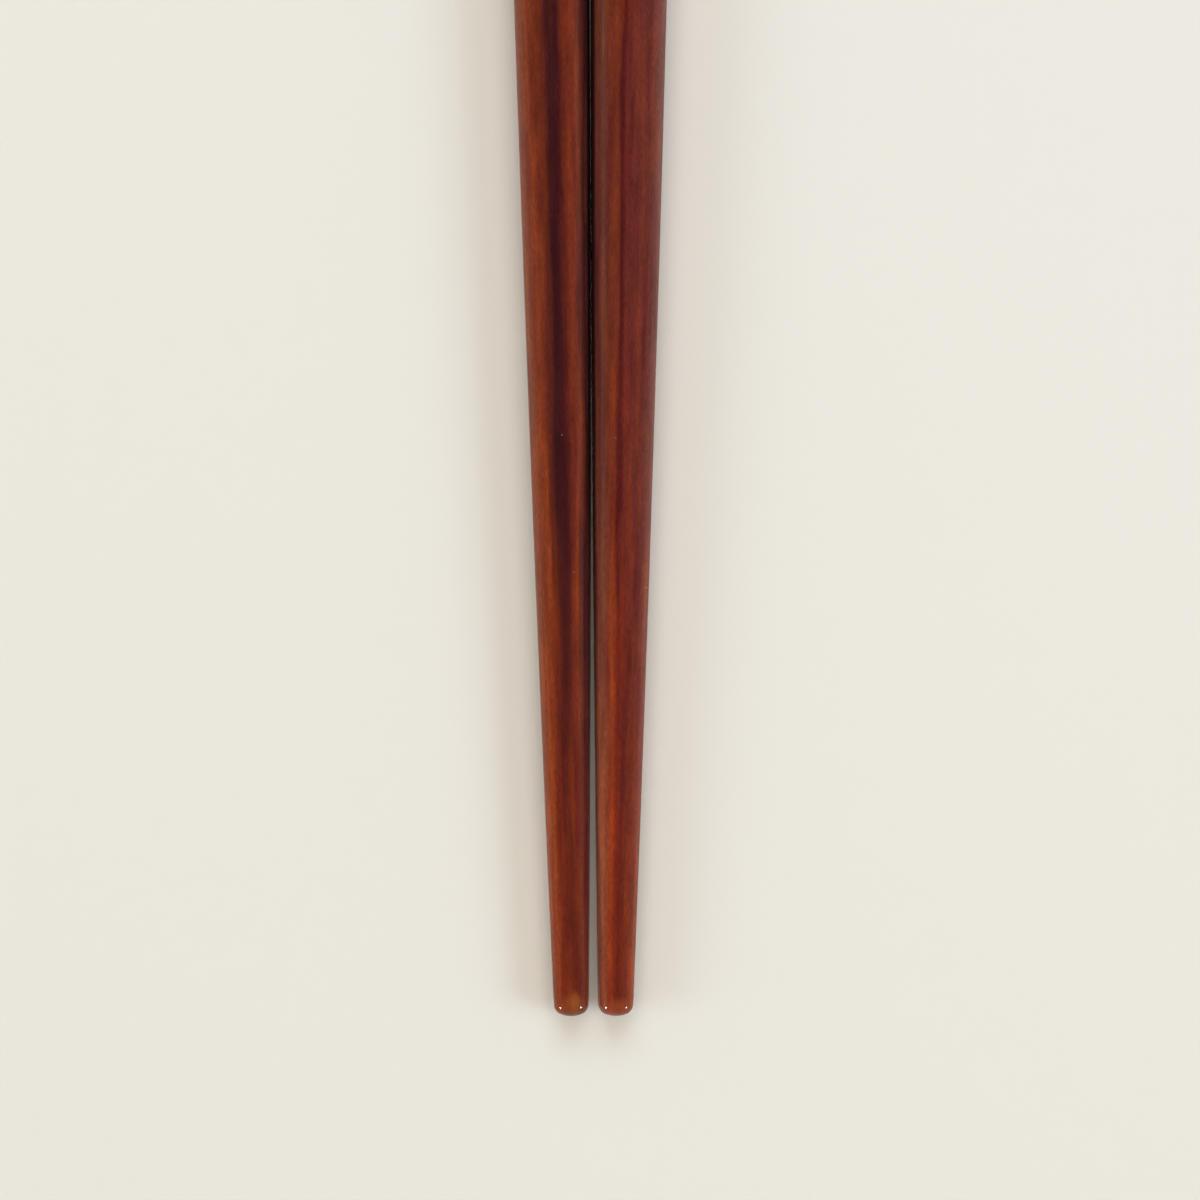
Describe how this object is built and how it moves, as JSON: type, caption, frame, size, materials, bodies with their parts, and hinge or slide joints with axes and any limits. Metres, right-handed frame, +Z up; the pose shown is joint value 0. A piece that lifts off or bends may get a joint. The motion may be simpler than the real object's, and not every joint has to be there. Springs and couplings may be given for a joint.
{
  "type": "pair of wooden chopsticks",
  "caption": "Pair of tapered wooden chopsticks, square section with rounded edges, rounded tips, glossy red-brown lacquer, lying side by side.",
  "frame": {"origin": "on the table, under the middle of the pair's box", "axes": "+Z up from the table, +Y along the sticks from the tips to the butts, +X from the left stick to the right stick"},
  "size_m": [0.0194, 0.23, 0.0086],
  "materials": {
    "left_wood": "glossy translucent lacquer over lengthwise grain, orange-brown with a dark middle band",
    "right_wood": "glossy translucent lacquer over lengthwise grain, red-brown"
  },
  "bodies": {
    "root": {"left_chopstick": "left_wood", "right_chopstick": "right_wood"}
  },
  "joints": []
}
